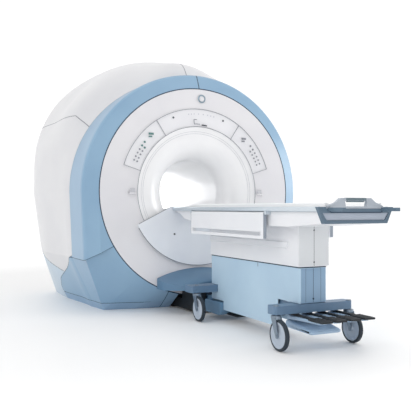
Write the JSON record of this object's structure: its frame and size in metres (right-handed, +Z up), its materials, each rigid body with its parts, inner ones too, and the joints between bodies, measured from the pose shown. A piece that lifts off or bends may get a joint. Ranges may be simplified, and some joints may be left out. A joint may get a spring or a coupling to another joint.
{
  "type": "magnetic resonance scanner with docking patient table",
  "caption": "Closed-bore magnetic resonance scanner in blue and white covers with a wheeled lifting patient table docked at its front.",
  "frame": {"origin": "on the floor, below the isocentre of the magnet", "axes": "+Y along the bore from the patient table towards the back of the magnet, +Z up, +X to the right seen from the table"},
  "size_m": [2.3534, 4.0333, 2.465],
  "materials": {
    "bib_grey": "satin light grey moulded cover",
    "blue_cover": "satin mid-blue moulded cover",
    "bore_white": "gloss white bore lining",
    "caster_zinc": "zinc plated fork",
    "cradle_white": "smooth white laminate",
    "cylinder_steel": "ground steel",
    "dark_metal": "black painted steel",
    "disc_white": "smooth off-white moulded disc",
    "dock_blue": "matt slate blue moulding",
    "frame_blue": "slate blue powder coat",
    "handle_grey": "grey moulded grip",
    "lever_grey": "dark grip",
    "pale_blue_cover": "satin pale blue moulded cover",
    "panel_white": "matt membrane panel",
    "pedal_black": "black ribbed tread on painted arm",
    "pedestal_blue": "satin pale blue cover",
    "plinth_blue": "matt blue kick strip",
    "rail_metal": "satin anodised bar",
    "resin": "cast epoxy resin",
    "screw_dark": "dark screw caps",
    "steel": "painted vessel steel",
    "table_white": "satin white cover",
    "track_grey": "smooth running surface",
    "wheel_grey": "grey wheel with dark tread",
    "white_cover": "satin off-white moulded cover",
    "winding": "wound conductor in resin"
  },
  "bodies": {
    "magnet": {"front_disc": "disc_white", "control_panel_left": "panel_white", "control_panel_right": "panel_white", "display_panel": "panel_white", "flare_bell": "bore_white", "bore_liner": "bore_white", "bib_cover": "bib_grey", "patient_bridge": "track_grey", "ring_cover_left": "blue_cover", "ring_cover_right": "blue_cover", "base_cover_left": "blue_cover", "base_cover_right": "blue_cover", "base_cover_centre": "blue_cover", "toe_plinth": "plinth_blue", "top_cover_left": "white_cover", "top_cover_right": "white_cover", "side_panel_left": "white_cover", "side_panel_right": "white_cover", "rear_skirt_left": "pale_blue_cover", "rear_skirt_right": "pale_blue_cover", "rear_cover": "white_cover", "cryostat_vessel": "steel", "main_coils": "winding", "gradient_coil": "resin", "body_coil": "resin", "service_turret": "steel", "cold_head": "steel", "magnet_feet": "steel", "dock_cover": "dock_blue", "dock_latch": "dark_metal", "cover_screws": "screw_dark"},
    "bridge_carriage": {"drive_carriage": "lever_grey"},
    "table_base": {"base_frame": "frame_blue", "lower_pedestal": "pedestal_blue", "docking_arm": "dock_blue", "lift_cylinder": "cylinder_steel", "pedal_shaft": "dark_metal"},
    "table_top": {"upper_housing": "table_white", "lift_rod": "cylinder_steel", "deck_tray": "table_white", "side_rail_left": "rail_metal", "side_rail_right": "rail_metal", "push_handle": "handle_grey"},
    "cradle": {"cradle_board": "cradle_white", "cradle_handle": "handle_grey"},
    "cradle_release": {"release_lever": "lever_grey"},
    "arm_board_left": {"arm_board_left": "table_white"},
    "arm_board_right": {"arm_board_right": "table_white"},
    "fork_front_left": {"caster_fork_front_left": "caster_zinc"},
    "wheel_front_left": {"wheel_front_left": "wheel_grey"},
    "fork_front_right": {"caster_fork_front_right": "caster_zinc"},
    "wheel_front_right": {"wheel_front_right": "wheel_grey"},
    "fork_rear_left": {"caster_fork_rear_left": "caster_zinc"},
    "wheel_rear_left": {"wheel_rear_left": "wheel_grey"},
    "fork_rear_right": {"caster_fork_rear_right": "caster_zinc"},
    "wheel_rear_right": {"wheel_rear_right": "wheel_grey"},
    "pedal_1": {"pedal_1": "pedal_black"},
    "pedal_2": {"pedal_2": "pedal_black"},
    "pedal_3": {"pedal_3": "pedal_black"},
    "pedal_4": {"pedal_4": "pedal_black"}
  },
  "joints": [
    {"name": "table_undock", "type": "slide", "parent": "magnet", "child": "table_base", "axis": [0, 1, 0], "range_m": [-0.45, 0]},
    {"name": "table_lift", "type": "slide", "parent": "table_base", "child": "table_top", "axis": [0, 0, 1], "range_m": [-0.235, 0]},
    {"name": "cradle_slide", "type": "slide", "parent": "table_top", "child": "cradle", "axis": [0, 1, 0], "range_m": [0, 1.5]},
    {"name": "carriage_slide", "type": "slide", "parent": "magnet", "child": "bridge_carriage", "axis": [0, 1, 0], "range_m": [0, 1.5]},
    {"name": "release_squeeze", "type": "slide", "parent": "cradle", "child": "cradle_release", "axis": [0, 0, -1], "range_m": [0, 0.006], "stiffness_N_per_m": 900},
    {"name": "arm_board_left_fold", "type": "hinge", "parent": "table_top", "child": "arm_board_left", "pos_m": [-0.274, -1.8685, 0.8727], "axis": [0, 1, 0], "range_deg": [0, 90]},
    {"name": "arm_board_right_fold", "type": "hinge", "parent": "table_top", "child": "arm_board_right", "pos_m": [0.274, -1.8685, 0.8727], "axis": [0, -1, 0], "range_deg": [0, 90]},
    {"name": "swivel_front_left", "type": "hinge", "parent": "table_base", "child": "fork_front_left", "pos_m": [-0.29, -1.42, 0.21], "axis": [0, 0, 1], "continuous": true},
    {"name": "roll_front_left", "type": "hinge", "parent": "fork_front_left", "child": "wheel_front_left", "pos_m": [-0.29, -1.46, 0.1], "axis": [1, 0, 0], "continuous": true},
    {"name": "swivel_front_right", "type": "hinge", "parent": "table_base", "child": "fork_front_right", "pos_m": [0.29, -1.42, 0.21], "axis": [0, 0, 1], "continuous": true},
    {"name": "roll_front_right", "type": "hinge", "parent": "fork_front_right", "child": "wheel_front_right", "pos_m": [0.29, -1.46, 0.1], "axis": [1, 0, 0], "continuous": true},
    {"name": "swivel_rear_left", "type": "hinge", "parent": "table_base", "child": "fork_rear_left", "pos_m": [-0.29, -2.6, 0.21], "axis": [0, 0, 1], "continuous": true},
    {"name": "roll_rear_left", "type": "hinge", "parent": "fork_rear_left", "child": "wheel_rear_left", "pos_m": [-0.29, -2.64, 0.1], "axis": [1, 0, 0], "continuous": true},
    {"name": "swivel_rear_right", "type": "hinge", "parent": "table_base", "child": "fork_rear_right", "pos_m": [0.29, -2.6, 0.21], "axis": [0, 0, 1], "continuous": true},
    {"name": "roll_rear_right", "type": "hinge", "parent": "fork_rear_right", "child": "wheel_rear_right", "pos_m": [0.29, -2.64, 0.1], "axis": [1, 0, 0], "continuous": true},
    {"name": "pedal_1_press", "type": "hinge", "parent": "table_base", "child": "pedal_1", "pos_m": [-0.125, -2.43, 0.2], "axis": [1, 0, 0], "range_deg": [0, 8], "stiffness_Nm_per_rad": 60, "springref_deg": -8.59},
    {"name": "pedal_2_press", "type": "hinge", "parent": "table_base", "child": "pedal_2", "pos_m": [-0.015, -2.43, 0.2], "axis": [1, 0, 0], "range_deg": [0, 8], "stiffness_Nm_per_rad": 60, "springref_deg": -8.59},
    {"name": "pedal_3_press", "type": "hinge", "parent": "table_base", "child": "pedal_3", "pos_m": [0.095, -2.43, 0.2], "axis": [1, 0, 0], "range_deg": [0, 8], "stiffness_Nm_per_rad": 60, "springref_deg": -8.59},
    {"name": "pedal_4_press", "type": "hinge", "parent": "table_base", "child": "pedal_4", "pos_m": [0.205, -2.43, 0.2], "axis": [1, 0, 0], "range_deg": [0, 8], "stiffness_Nm_per_rad": 60, "springref_deg": -8.59}
  ],
  "couplings": [
    {"joint": "carriage_slide", "follows": "cradle_slide", "ratio": 1}
  ]
}
